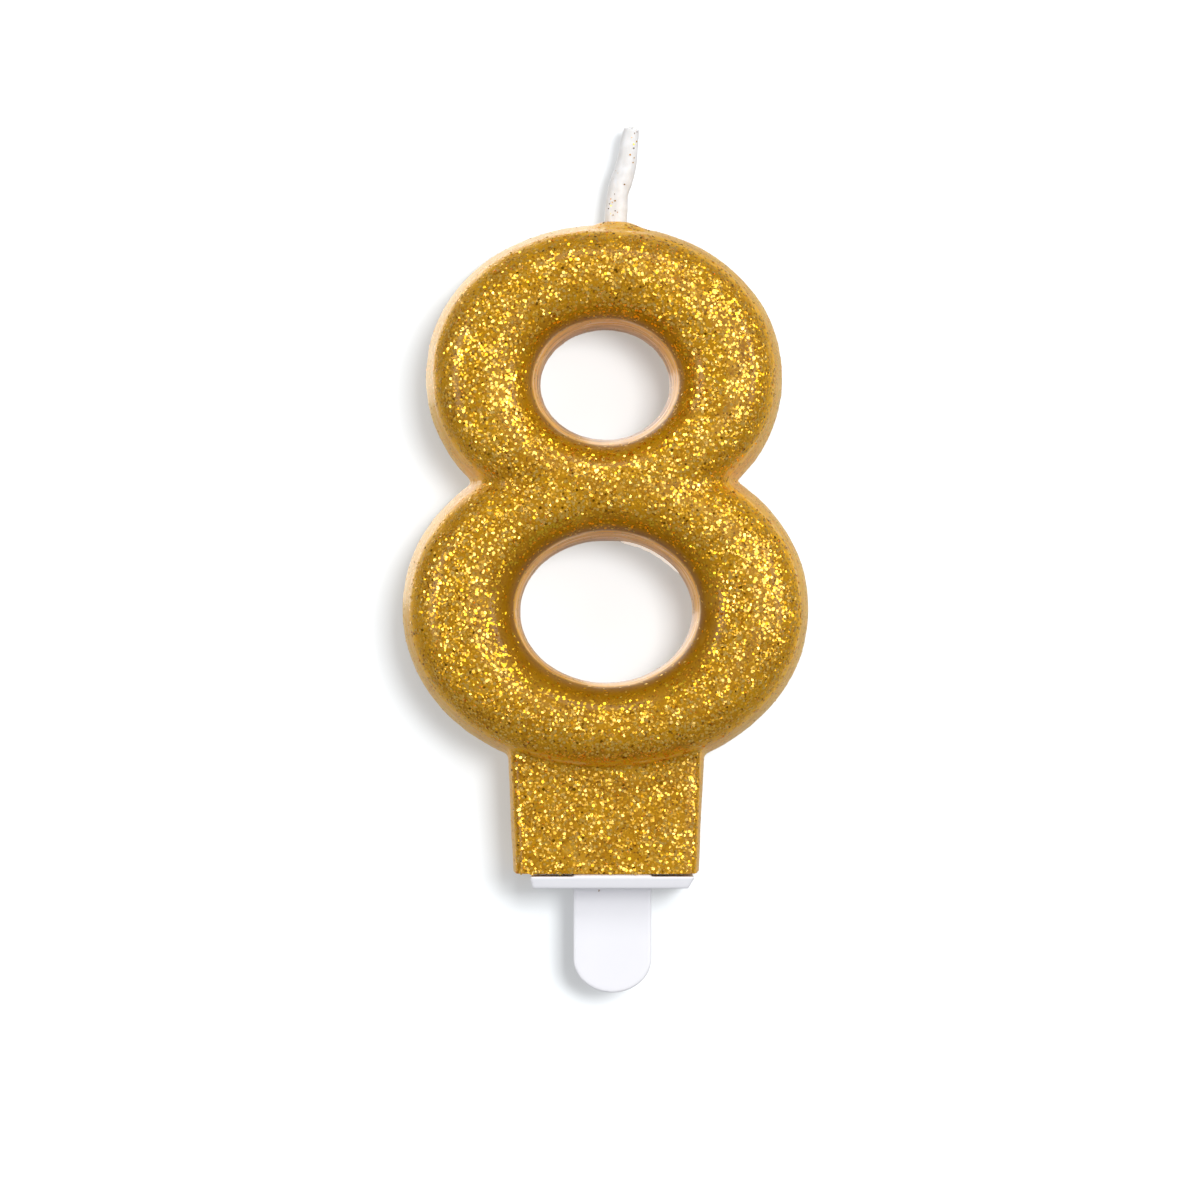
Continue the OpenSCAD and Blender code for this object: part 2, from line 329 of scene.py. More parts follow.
def lacquered_wax():
    """Peach wax on the walls, mustard lacquer with fine chips on the front."""
    material, tree, shader, node = new_material("lacquered_wax")
    place = node("TexCoord").outputs["Object"]
    geometry = node("NewGeometry")
    normal_parts = node("SeparateXYZ", Vector=geometry.outputs["Normal"])
    facing = math_node(node, "MULTIPLY", normal_parts.outputs["Y"], -1)
    hole_side = node("Attribute")
    hole_side.attribute_name = "hole_side"
    hole_side = hole_side.outputs["Fac"]
    # The lacquer reaches further over the lip of a hole than over the outer shoulder
    outer_front = smooth_step(node, facing, 0.2, 0.7)
    hole_front = smooth_step(node, facing, 0.15, 0.35)
    spread = math_node(node, "SUBTRACT", hole_front, outer_front)
    front = math_node(node, "MULTIPLY_ADD", spread, hole_side, outer_front)

    clouds = node("TexNoise", Vector=place, Scale=260, Detail=3).outputs["Fac"]
    lacquer = colour_mix(node, smooth_step(node, clouds, 0.35, 0.65), lacquer_deep, lacquer_gold)
    patches = node("TexNoise", Vector=place, Scale=420, Detail=2).outputs["Fac"]
    lacquer = colour_mix(node, smooth_step(node, patches, 0.6, 0.74), lacquer, bare_patch)

    chips = node("TexVoronoi", Vector=place, Scale=1 / fine_chip)
    chip = node("SeparateColor", Color=chips.outputs["Color"])
    mottle = math_node(node, "MULTIPLY", chip.outputs["Blue"], mottle_share)
    lacquer = colour_mix(node, mottle, lacquer, mottle_gold)
    # Painted shade: by a hole the lacquer is darkened, as the shade that falls on the lip
    shade = math_node(node, "MULTIPLY", hole_side, painted_shade_share)
    lacquer = colour_mix(node, shade, lacquer, painted_lip_shade)

    # Lines along the wall: noise that changes fast with depth and slowly along the outline
    stretch = node("Mapping", Vector=place, Scale=(260, 1300, 260))
    lines = node("TexNoise", Vector=stretch.outputs[0], Scale=1, Detail=4).outputs["Fac"]
    # The flat back is poured wax, even and without lines
    on_wall = smooth_step(node, facing, -0.7, -0.3)
    in_hole = math_node(node, "MULTIPLY", hole_side, on_wall)
    # Painted shade: the bare wax on the wall of a hole is darker than on the outer wall
    bare = colour_mix(node, in_hole, peach_wax, peach_painted_shade_in_hole)
    # The lacquer on a wall thins out from the shoulder to the back. Its gold there is also made
    # bright as painted light, standing in for light bounced back from the pale surface behind
    depth = node("SeparateXYZ", Vector=place).outputs["Y"]
    wall = colour_mix(node, smooth_step(node, depth, -2 * MM, 3.6 * MM), gold_wall_with_painted_bounce, bare)
    strength = math_node(node, "MULTIPLY_ADD", hole_side, extra_line_share_by_hole, line_share)
    strength = math_node(node, "MULTIPLY", on_wall, strength)
    pale = math_node(node, "MULTIPLY", smooth_step(node, lines, 0.52, 0.66), strength)
    dim = math_node(node, "MULTIPLY", smooth_step(node, lines, 0.48, 0.34), strength)
    wall = colour_mix(node, dim, colour_mix(node, pale, wall, pale_line), dark_line)
    base = colour_mix(node, front, wall, lacquer)

    # One chip in four shines on the front, half as many on a wall, and far fewer by a hole and
    # on the back. A few on the front are drawn dark, as painted dark reflections
    share = math_node(node, "MULTIPLY_ADD", front, extra_shining_on_front, shining_on_wall)
    away_from_hole = math_node(node, "MULTIPLY_ADD", hole_side, -0.9, 1)
    off_the_back = math_node(node, "MULTIPLY_ADD", on_wall, 0.85, 0.15)
    share = math_node(node, "MULTIPLY", share, away_from_hole)
    share = math_node(node, "MULTIPLY", share, off_the_back)
    shines = math_node(node, "LESS_THAN", chip.outputs["Red"], share)
    dark = math_node(node, "GREATER_THAN", chip.outputs["Red"], painted_dark_chips_over)
    dark = math_node(node, "MULTIPLY", dark, front)
    chip_colour = colour_mix(node, chip.outputs["Green"], *chip_golds)
    # Chips by a hole mirror the lacquer opposite, which deepens them, so theirs is a greener gold
    chip_colour = colour_mix(node, hole_side, chip_colour, chip_by_hole)
    base = colour_mix(node, dark, base, chip_painted_dark_reflection)
    tree.links.new(colour_mix(node, shines, base, chip_colour), shader.inputs["Base Color"])
    tree.links.new(shines, shader.inputs["Metallic"])

    tilt = node("VectorMath", Vector=chips.outputs["Color"])
    tilt.operation = "SUBTRACT"
    tilt.inputs[1].default_value = (0.5, 0.5, 0.5)
    amount = math_node(node, "MULTIPLY", shines, chip_tilt)
    lean = node("VectorMath")
    lean.operation = "SCALE"
    tree.links.new(tilt.outputs[0], lean.inputs[0])
    tree.links.new(amount, lean.inputs["Scale"])
    leaned = node("VectorMath")
    leaned.operation = "ADD"
    tree.links.new(geometry.outputs["Normal"], leaned.inputs[0])
    tree.links.new(lean.outputs[0], leaned.inputs[1])
    normal = node("VectorMath")
    normal.operation = "NORMALIZE"
    tree.links.new(leaned.outputs[0], normal.inputs[0])
    tree.links.new(normal.outputs[0], shader.inputs["Normal"])

    shader.inputs["Roughness"].default_value = 0.4
    shader.inputs["Specular IOR Level"].default_value = 0.08
    shader.inputs["Coat Weight"].default_value = 0.2
    shader.inputs["Coat Roughness"].default_value = 0.16
    shader.inputs["Subsurface Weight"].default_value = 0.2
    shader.inputs["Subsurface Radius"].default_value = (1, 0.45, 0.15)
    shader.inputs["Subsurface Scale"].default_value = 0.8 * MM
    return material


# %% Gold flakes
flake_golds = ((0.95, 0.485, 0.012, 1), (1, 0.65, 0.17, 1))
flake_by_hole = (0.84, 0.51, 0.03, 1)
# Painted dark reflection, for the flakes with the lowest tints
flake_painted_dark_reflection = (0.30, 0.13, 0.004, 1)


def gold_flake():
    """Metal foil, from pale to deep gold by each flake's own tint."""
    material, tree, shader, node = new_material("gold_flake")
    tint = node("Attribute")
    tint.attribute_name = "tint"
    gold = colour_mix(node, tint.outputs["Fac"], *flake_golds)
    # The lowest tints are drawn dark, as painted dark reflections
    not_painted_dark = smooth_step(node, tint.outputs["Fac"], 0.03, 0.04)
    colour = colour_mix(node, not_painted_dark, flake_painted_dark_reflection, gold)
    # Flakes by a hole carry a tint under 0. They are a greener gold, as the chips there are
    by_hole = math_node(node, "LESS_THAN", tint.outputs["Fac"], 0)
    colour = colour_mix(node, by_hole, colour, flake_by_hole)
    tree.links.new(colour, shader.inputs["Base Color"])
    shader.inputs["Metallic"].default_value = 1
    shader.inputs["Roughness"].default_value = 0.24
    return material


# %% White wick wax, cotton and pick plastic
def waxed_white():
    """White wax rubbed thin over cotton: uneven, with a faint warm cast in the dips."""
    material, tree, shader, node = new_material("waxed_white")
    place = node("TexCoord").outputs["Object"]
    lumps = node("TexNoise", Vector=place, Scale=900, Detail=4).outputs["Fac"]
    out_of_dips = smooth_step(node, lumps, 0.35, 0.7)
    colour = colour_mix(node, out_of_dips, (0.72, 0.71, 0.70, 1), (0.81, 0.805, 0.81, 1))
    tree.links.new(colour, shader.inputs["Base Color"])
    fibres = node("TexNoise", Vector=place, Scale=4200, Detail=2).outputs["Fac"]
    bump = node("Bump", Strength=0.35, Distance=0.04 * MM, Height=fibres)
    tree.links.new(bump.outputs[0], shader.inputs["Normal"])
    shader.inputs["Roughness"].default_value = 0.42
    shader.inputs["Subsurface Weight"].default_value = 0.3
    shader.inputs["Subsurface Radius"].default_value = (1, 0.9, 0.8)
    shader.inputs["Subsurface Scale"].default_value = 0.5 * MM
    return material


def cotton(name, glow=0):
    """Undyed cotton: matt, with fine fibres. In the wax it glows, which is painted light: an
    emission that brightens the cotton where it lies in shade.
    """
    material, tree, shader, node = new_material(name)
    shader.inputs["Emission Color"].default_value = (1, 0.97, 0.93, 1)
    shader.inputs["Emission Strength"].default_value = glow
    place = node("TexCoord").outputs["Object"]
    fibres = node("TexNoise", Vector=place, Scale=6000, Detail=3).outputs["Fac"]
    colour = colour_mix(node, fibres, (0.88, 0.86, 0.81, 1), (0.98, 0.97, 0.94, 1))
    tree.links.new(colour, shader.inputs["Base Color"])
    bump = node("Bump", Strength=0.6, Distance=0.05 * MM, Height=fibres)
    tree.links.new(bump.outputs[0], shader.inputs["Normal"])
    shader.inputs["Roughness"].default_value = 0.9
    shader.inputs["Sheen Weight"].default_value = 0.3
    return material


def moulded_white():
    """White plastic with the fine satin of a spark-eroded mould and faint flow clouds."""
    material, tree, shader, node = new_material("moulded_white")
    place = node("TexCoord").outputs["Object"]
    flow = node("TexNoise", Vector=place, Scale=160, Detail=2).outputs["Fac"]
    colour = colour_mix(node, flow, (0.82, 0.815, 0.85, 1), (0.86, 0.855, 0.89, 1))
    tree.links.new(colour, shader.inputs["Base Color"])
    grain = node("TexNoise", Vector=place, Scale=9000, Detail=1).outputs["Fac"]
    bump = node("Bump", Strength=0.12, Distance=0.02 * MM, Height=grain)
    tree.links.new(bump.outputs[0], shader.inputs["Normal"])
    rough = math_node(node, "MULTIPLY_ADD", flow, 0.12, 0.3)
    tree.links.new(rough, shader.inputs["Roughness"])
    shader.inputs["Subsurface Weight"].default_value = 0.15
    shader.inputs["Subsurface Radius"].default_value = (1, 1, 1)
    shader.inputs["Subsurface Scale"].default_value = 0.5 * MM
    return material


wax_finish = lacquered_wax()
flake_finish = gold_flake()
white_wax_finish = waxed_white()
cotton_finish = cotton("cotton")
# Painted light: the cotton in the wax is given a faint glow, so it reads bright where it lies in
# shade
buried_finish = cotton("cotton_in_wax", glow=0.4)
plastic_finish = moulded_white()
print("finishes", [m.name for m in bpy.data.materials])

# %% [markdown]
# ## The wax figure
#
# Each loop of the eight is a stroke bent round into a ring. The stroke's cross-section is
# drawn once: a flat back, two leaning walls and a round front. `spin` turns it once round to
# make a plain round ring, and then every vertex is moved so that the ring's inner edge lies
# on the hole, an ellipse, and its outer edge on the outline, a slightly squarer oval with
# another centre. A sculptor would do the same by hand. Each wall keeps the lean that it is
# given all the way round, which stretching the ring as a whole would change.

# %% Shape of the loops
flat_back = 3.9
wall_depth = 6.5
wall_steps, front_steps = 5, 26
wall_lean = 0.9
front_height = 5.0
front_fullness = 2.2
outline_fullness = 2.05
# The wall of a hole leans by a plain amount, plus a little more to the right and at the top
upper_loop = {"middle": (-0.85, 53.1), "half": (18.7, 16.0), "hole": (-0.75, 52.32),
              "hole_half": (6.7, 5.66), "hole_lean": (0.72, 0.06, 0.02)}
lower_loop = {"middle": (-0.70, 28.9), "half": (21.3, 17.3), "hole": (-0.65, 28.6),
              "hole_half": (8.95, 7.4), "hole_lean": (0.48, 0.1, 0.3)}


def bulge(value, fullness=front_fullness):
    """A sine or cosine made fuller, so that a curve is a little squarer than an ellipse."""
    return math.copysign(abs(value) ** (2 / fullness), value)


def add_stroke_outline(bm):
    """The closed cross-section: x is 1 at the hole and 2 at the outer edge, y is depth."""
    depths = [flat_back - wall_depth * step / wall_steps for step in range(wall_steps)]
    inner, outer = [(1, depth) for depth in depths], [(2, depth) for depth in depths]
    angles = [math.pi * (1 - step / front_steps) for step in range(front_steps + 1)]
    wall_top = flat_back - wall_depth
    front = [(1.5 + 0.5 * bulge(math.cos(a)), wall_top - front_height * bulge(math.sin(a)))
             for a in angles]
    points = inner + front + outer[::-1]
    verts = [bm.verts.new((x, y, 0)) for x, y in points]
    for index, vert in enumerate(verts):
        bm.edges.new((vert, verts[(index + 1) % len(verts)]))


def on_oval(middle, half, angle, fullness=2):
    """A point on an ellipse, or on a slightly squarer oval if its fullness is over 2."""
    return Vector((middle[0] + half[0] * bulge(math.cos(angle), fullness), 0,
                   middle[1] + half[1] * bulge(math.sin(angle), fullness)))


def add_loop(bm, loop, turns=200):
    """Spin the cross-section, then fit the ring between its hole and its outline."""
    ring = bmesh.new()
    add_stroke_outline(ring)
    bmesh.ops.spin(ring, geom=ring.verts[:] + ring.edges[:], cent=(0, 0, 0), axis=(0, 1, 0),
                   angle=math.tau, steps=turns, use_merge=True)
    for vert in ring.verts:
        angle = math.atan2(vert.co.z, vert.co.x)
        across = math.hypot(vert.co.x, vert.co.z) - 1
        depth = flat_back - vert.co.y
        inner = on_oval(loop["hole"], loop["hole_half"], angle)
        outer = on_oval(loop["middle"], loop["half"], angle, outline_fullness)
        width = (outer - inner).length
        up_the_wall = min(depth / wall_depth, 1)
        plain, right, top = loop["hole_lean"]
        hole_lean = up_the_wall * (plain + right * math.cos(angle) + top * math.sin(angle))
        reach = hole_lean + across * (width - hole_lean - up_the_wall * wall_lean)
        spot = inner.lerp(outer, reach / width)
        vert.co = (spot.x, vert.co.y, spot.z)
    bmesh.ops.recalc_face_normals(ring, faces=ring.faces)
    add_mesh_of(bm, ring)


def add_mesh_of(bm, other):
    """Put everything in the other bmesh into this one, and free the other."""
    mesh = bpy.data.meshes.new("passing_mesh")
    other.to_mesh(mesh)
    other.free()
    bm.from_mesh(mesh)
    bpy.data.meshes.remove(mesh)


# %% [markdown]
# ## The foot, and one skin over everything
#
# The foot is a tapered block with round front edges, and a low collar of wax stands round the
# root of the wick. Wax flows together, so the solids must not look like separate ones. A
# voxel remesh wraps one even skin over them, and smoothing it rounds the corners between them
# as the mould's edges do. The waist, where the loops run into each other, is smoothed more. A
# slow noise then moves the skin by a few hundredths of a millimetre, because poured wax never
# sets quite true. The foot starts too long and is cut off flat last, so its bottom is crisp.

# %% Foot and skin
foot_bottom, foot_top = 1.53, 15.5
foot_below = 0.8
foot_middle = -0.65
foot_widths = (19.4, 20.7)
foot_front = 3.9
foot_lean = 0.45
foot_edge = 1.1
waist_z = 41.5
waist_band = 5
waist_passes = 24
collar_middle, collar_height = (0.3, 1.8, 68.8), 0.9
collar_radius_below, collar_radius_above = 3.6, 1.4
# Height of the slow and of the fine swell of the wax, and how far apart their bumps are
slow_swell, slow_spacing = 0.05, 5
fine_swell, fine_spacing = 0.02, 1.6
voxel = 0.3


def add_foot(bm):
    block = bmesh.new()
    bmesh.ops.create_cube(block, size=1)
    for vert in block.verts:
        top = vert.co.z > 0
        width = foot_widths[1] if top else foot_widths[0]
        if vert.co.y < 0:
            width -= 2 * foot_lean
        vert.co = (foot_middle + math.copysign(width / 2, vert.co.x),
                   -foot_front if vert.co.y < 0 else flat_back,
                   foot_top if top else foot_bottom - foot_below)
    front_edges = [edge for edge in block.edges
                   if all(vert.co.y < 0 for vert in edge.verts)
                   and abs(edge.verts[0].co.z - edge.verts[1].co.z) > 1]
    bmesh.ops.bevel(block, geom=front_edges, offset=foot_edge, affect="EDGES", segments=6,
                    profile=0.5, material=-1)
    add_mesh_of(bm, block)


def add_collar(bm):
    """A low cone of wax that crept up round the root of the wick, flush with the flat back."""
    cone = bmesh.ops.create_cone(
        bm, cap_ends=True, segments=32, radius1=collar_radius_below,
        radius2=collar_radius_above, depth=collar_height,
        matrix=Matrix.Translation(collar_middle))
    for vert in cone["verts"]:
        vert.co.y = min(vert.co.y, flat_back)


def cut_flat(bm, height):
    """Cut everything below that height away, which leaves a flat bottom with a crisp edge."""
    everything = bm.verts[:] + bm.edges[:] + bm.faces[:]
    bmesh.ops.bisect_plane(bm, geom=everything, plane_co=(0, 0, height), plane_no=(0, 0, -1),
                           clear_outer=True)
    rim = [edge for edge in bm.edges if edge.is_boundary]
    bmesh.ops.holes_fill(bm, edges=rim)
    for edge in rim:
        edge.smooth = False


def make_figure():
    """One closed wax skin over both loops, the foot and the collar."""
    bm = bmesh.new()
    add_loop(bm, upper_loop)
    add_loop(bm, lower_loop)
    add_foot(bm)
    add_collar(bm)
    figure = piece_from(bm, "wax_skin")
    remesh = figure.modifiers.new("one_skin", "REMESH")
    remesh.mode = "VOXEL"
    remesh.voxel_size = voxel
    soften = figure.modifiers.new("soften", "SMOOTH")
    soften.factor = 0.5
    soften.iterations = 5
    apply_modifiers(figure)
    bm = bmesh.new()
    bm.from_mesh(figure.data)
    waist = [vert for vert in bm.verts
             if abs(vert.co.z - waist_z) < waist_band and vert.co.y < -1]
    for again in range(waist_passes):
        bmesh.ops.smooth_vert(bm, verts=waist, factor=0.5,
                              use_axis_x=True, use_axis_y=True, use_axis_z=True)
    bm.normal_update()
    for vert in bm.verts:
        swell = (slow_swell * noise.noise(vert.co / slow_spacing)
                 + fine_swell * noise.noise(vert.co / fine_spacing))
        vert.co += vert.normal * swell
    cut_flat(bm, foot_bottom)
    bm.to_mesh(figure.data)
    bm.free()
    return figure


figure = make_figure()
print("wax skin", len(figure.data.polygons), "faces")

# %% [markdown]
# ## The slot in the foot
#
# The pick's tang goes up into the foot. When the candle is pulled off, the empty slot is
# seen from below, so it is cut for real. A Boolean modifier takes away a plain bar that is
# a little larger than the tang.

# %% Cut the slot
tang_width, tang_thick, tang_top = 8.1, 1.6, 11.25
# How much further the slot goes than the tang, at each side and at the top
tang_room, room_over_tang = 0.05, 0.3


def cut_slot(figure):
    bm = bmesh.new()
    bmesh.ops.create_cube(bm, size=1)
    bottom = foot_bottom - 1
    top = tang_top + room_over_tang
    bmesh.ops.scale(bm, verts=bm.verts,
                    vec=(tang_width + 2 * tang_room, tang_thick + 2 * tang_room, top - bottom))
    bmesh.ops.translate(bm, verts=bm.verts, vec=(0, 0, (top + bottom) / 2))
    bar = piece_from(bm, "slot_bar")
    cut = figure.modifiers.new("slot", "BOOLEAN")
    cut.operation = "DIFFERENCE"
    cut.solver = "EXACT"
    cut.object = bar
    apply_modifiers(figure)
    bpy.data.objects.remove(bar)


cut_slot(figure)
print("wax skin with its slot", len(figure.data.polygons), "faces")


# %% Mark the walls of the holes
by_hole_reach = 1.5
by_hole_fade = 0.35


def hole_reach(place):
    """How far a place is from the nearest hole: 1 on its edge at the back, more outside."""
    return min(math.hypot((place[0] - loop["hole"][0]) / loop["hole_half"][0],
                          (place[2] - loop["hole"][1]) / loop["hole_half"][1])
               for loop in (upper_loop, lower_loop))


def mark_hole_side(figure):
    """1 next to a hole, 0 further out: less lacquer reached the walls of the holes, and the
    material paints shade there.
    """
    bm = bmesh.new()
    bm.from_mesh(figure.data)
    hole_side = bm.verts.layers.float.new("hole_side")
    for vert in bm.verts:
        vert[hole_side] = min(max((by_hole_reach - hole_reach(vert.co)) / by_hole_fade, 0), 1)
    marked = sum(vert[hole_side] > 0.5 for vert in bm.verts)
    bm.to_mesh(figure.data)
    bm.free()
    return marked


print("vertices by the holes", mark_hole_side(figure))

# %% [markdown]
# ## Glitter
#
# Craft glitter is hexagons of metal-coated film, 0.2 to 0.4 mm across. Painted-on sparkle
# can't give their crisp flashes, so they are real: each is a flat hexagon whose underside
# runs to a point down in the lacquer, which closes it with only seven faces. Most lie
# nearly flat, and three in ten were caught at an angle as the lacquer dried. They are drawn
# at random but from a fixed seed, so every run gives the same candle. A `create_cone` call
# slows down as its bmesh grows, so they are made in small batches.

# %% Scatter places
def random_places(piece, density, seed):
    """Places and normals spread over a piece, density(normals, places) of them a square mm."""
    rng = np.random.default_rng(seed)
    mesh = piece.data
    mesh.calc_loop_triangles()
    corners = np.empty(len(mesh.loop_triangles) * 3, int)
    mesh.loop_triangles.foreach_get("vertices", corners)
    spots = np.empty(len(mesh.vertices) * 3)
    mesh.vertices.foreach_get("co", spots)
    a, b, c = (spots.reshape(-1, 3)[corners.reshape(-1, 3)[:, k]] for k in range(3))
    cross = np.cross(b - a, c - a)
    doubled = np.linalg.norm(cross, axis=1)
    normals = cross / np.maximum(doubled, 1e-12)[:, None]
    wanted = doubled / 2 * density(normals, (a + b + c) / 3)
    pick = np.repeat(np.arange(len(wanted)), rng.poisson(wanted))
    u, v = rng.random((2, len(pick), 1))
    over = u + v > 1
    u, v = np.where(over, 1 - u, u), np.where(over, 1 - v, v)
    places = a[pick] + u * (b - a)[pick] + v * (c - a)[pick]
    return places, normals[pick], rng


lip_reach = 1.38
flake_depth, flake_sink = 0.05, 0.02
caught_share = 0.3
caught_lean, plain_lean = 0.42, 0.13
batch = 400


def flakes(name, places, normals, rng, sizes=(0.11, 0.19), proud=0.02, loose=1, tints=1):
    """One piece of hexagonal flakes, each at its place and leaning its own way.

    Sizes are the least and greatest radius, proud is how far they stand out of the surface,
    loose makes them lean more or less, and tints is the highest tint that they can have. The
    lowest tints, up to 0.03, are drawn dark by the material, as painted dark reflections.
    """
    whole = bmesh.new()
    for start in range(0, len(places), batch):
        bm = bmesh.new()
        tint = bm.verts.layers.float.new("tint")
        for place, normal in zip(places[start:start + batch], normals[start:start + batch]):
            caught = rng.random() < caught_share
            lean = rng.normal(0, loose * (caught_lean if caught else plain_lean), 2)
            out = (Vector(normal) + Vector((lean[0], 0.5 * lean[1], lean[1]))).normalized()
            turn = (-out).to_track_quat("Z", "Y").to_matrix().to_4x4()
            spot = Matrix.Translation(Vector(place) + Vector(normal) * proud - out * flake_sink)
            made = bmesh.ops.create_cone(
                bm, cap_ends=True, segments=6, radius1=rng.uniform(*sizes), radius2=0,
                depth=flake_depth,
                matrix=spot @ turn @ Matrix.Rotation(rng.uniform(0, math.tau), 4, "Z"))
            shade = tints * rng.random()
            # A tint under 0 marks a flake by a hole, where the material makes it greener
            if hole_reach(place) < lip_reach:
                shade -= 1
            for vert in made["verts"]:
                vert[tint] = shade
        add_mesh_of(whole, bm)
    return piece_from(whole, name)


# %% Flakes on the front, the walls and the back
# The front faces the camera more than this, and the back faces away more than this
front_facing, back_facing = 0.2, -0.5
# Flakes on a square millimetre
front_density = 8
wall_density = 1.6
back_density = 0.4
# The foot and the waist have fewer
fewer = 0.75
fewer_below, fewer_by_waist = foot_top - 3, 2.5
clump_contrast, clump_size = 0.9, 1.7
# The lip of a hole is steep and half hidden from the spray: few flakes up to this reach
lip_start, lip_fade, lip_least = 1.13, 0.34, 0.08


def coat_density(normals, places):
    """Dense where the spray hit the front square on, thin on the walls, sparse behind."""
    facing = -normals[:, 1]
    clumps = np.array([1 + clump_contrast * noise.noise(Vector(place) / clump_size)
                       for place in places])
    lip = np.array([min(max((hole_reach(place) - lip_start) / lip_fade, lip_least), 1)
                    for place in places])
    thinner = np.where(places[:, 2] < fewer_below, fewer, 1)
    thinner = np.where(np.abs(places[:, 2] - waist_z) < fewer_by_waist, fewer, thinner)
    front = front_density * facing * clumps * lip * thinner
    sprayed = np.where(facing > front_facing, front, wall_density * np.sqrt(lip))
    coat = np.where(facing < back_facing, back_density, sprayed)
    # None on the flat bottom
    return np.where(places[:, 2] < foot_bottom + 0.02, 0, coat)


places, normals, rng = random_places(figure, coat_density, seed=8)
in_front = -normals[:, 1] > front_facing
upper = places[:, 2] > waist_z
glitter = [
    flakes("glitter_upper", places[in_front & upper], normals[in_front & upper], rng),
    flakes("glitter_lower", places[in_front & ~upper], normals[in_front & ~upper], rng),
    flakes("glitter_walls", places[~in_front], normals[~in_front], rng,
           sizes=(0.08, 0.14), proud=0, loose=0.4),
]
finish_piece(figure, wax_finish, replaces=["wax_figure"])
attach(figure, "candle")
for piece in glitter:
    finish_piece(piece, flake_finish, replaces=["glitter_coat"], smooth=False)
    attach(piece, "candle")

# %% [markdown]
# ## The wick
#
# The wick is braided cotton soaked in white wax. It comes out of the top, leans to the right
# and has a kink just below its middle. A ring is drawn once and extruded along the path,
# ring by ring, with its width at each point. The wick bends where it leaves the wax.

# %% Sweep a ring along a path
def through(points, steps):
    """A smooth line through the points: Catmull-Rom, with steps rings a span."""
    ends = [2 * points[0] - points[1]] + points + [2 * points[-1] - points[-2]]
    line = []
    for p0, p1, p2, p3 in zip(ends, ends[1:], ends[2:], ends[3:]):
        for step in range(steps):
            t = step / steps
            line.append(0.5 * (2 * p1 + (p2 - p0) * t + (2 * p0 - 5 * p1 + 4 * p2 - p3) * t**2
                               + (3 * p1 - p0 - 3 * p2 + p3) * t**3))
    return line + [points[-1]]


def sweep(bm, line, widths, sides):
    """Extrude a ring along the line. widths(share, angle) is the radius there."""
    ring = bmesh.ops.create_circle(bm, segments=sides, radius=1)["verts"]
    edges = list({edge for vert in ring for edge in vert.link_edges})
    bottom = edges
    for index, point in enumerate(line):
        if index:
            made = bmesh.ops.extrude_edge_only(bm, edges=edges)["geom"]
            ring = [item for item in made if isinstance(item, bmesh.types.BMVert)]
            edges = [item for item in made if isinstance(item, bmesh.types.BMEdge)
                     and all(vert in ring for vert in item.verts)]
            order = {vert: key for vert, key in zip(ring, angles_of(ring, last))}
        else:
            order = {vert: math.atan2(vert.co.y, vert.co.x) for vert in ring}
        way = (line[min(index + 1, len(line) - 1)] - line[max(index - 1, 0)]).normalized()
        side = Vector((0, 1, 0)).cross(way).normalized()
        deep = way.cross(side)
        last = (point, side, deep)
        for vert, angle in order.items():
            radius = widths(index / (len(line) - 1), angle)
            vert.co = point + radius * (math.cos(angle) * side + math.sin(angle) * deep)
    bmesh.ops.contextual_create(bm, geom=bottom)
    bmesh.ops.contextual_create(bm, geom=edges)
    bmesh.ops.recalc_face_normals(bm, faces=bm.faces)


def angles_of(ring, frame_of_ring):
    """Where each vertex stands round its ring, seen in the ring's own plane."""
    point, side, deep = frame_of_ring
    return [math.atan2((vert.co - point).dot(deep), (vert.co - point).dot(side)) for vert in ring]


# %% Free wick
wick_depth = 1.8
# Middle and width of the wick at each height: x, z, width
wick_shape = [(0.2, 66.5, 2.3), (0.28, 68.2, 2.35), (0.33, 69.2, 2.35), (0.45, 70.7, 2.3),
              (0.59, 72.2, 2.2), (0.89, 73.4, 2.3), (1.32, 74.6, 2.2), (1.58, 76.0, 2.04),
              (1.74, 77.4, 1.9), (1.94, 78.5, 1.7), (2.0, 78.95, 1.58)]
# How far the strands and the dips stand out or in, as a share of the radius
strand_relief, dip_relief = 0.012, 0.035
strand_twist = 26


def make_wick():
    steps = 6
    points = [Vector((x, wick_depth, z)) for x, z, width in wick_shape]
    half_widths = [width / 2 for x, z, width in wick_shape]
    line = through(points, steps)

    def radius(share, angle):
        spot = share * (len(half_widths) - 1)
        low = min(int(spot), len(half_widths) - 2)
        plain = half_widths[low] + (spot - low) * (half_widths[low + 1] - half_widths[low])
        # Three strands wind round, softened by the wax over them
        strands = strand_relief * math.cos(3 * angle + strand_twist * share)
        dips = noise.noise(Vector((math.cos(angle), math.sin(angle), 9 * share)))
        return plain * (1 + strands + dip_relief * dips)

    bm = bmesh.new()
    sweep(bm, line, radius, sides=28)
    return piece_from(bm, "waxed_wick")


wick = make_wick()
finish_piece(wick, white_wax_finish, replaces=["wick_wax"])
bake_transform(wick)

# %% [markdown]
# ## Cotton at the tip and in the wax
#
# The wick was cut with scissors, so three twisted strands stand just proud of the wax at the
# tip. The other end of the cotton runs down inside the figure, round the left of the upper
# hole, through the waist and down the right side, and it comes to the surface at the upper
# right of the lower hole, near the back.

# %% Strands at the tip
strand_radius = 0.32
strand_foot, strand_rise = (1.95, 78.2), (0.02, 0.21)


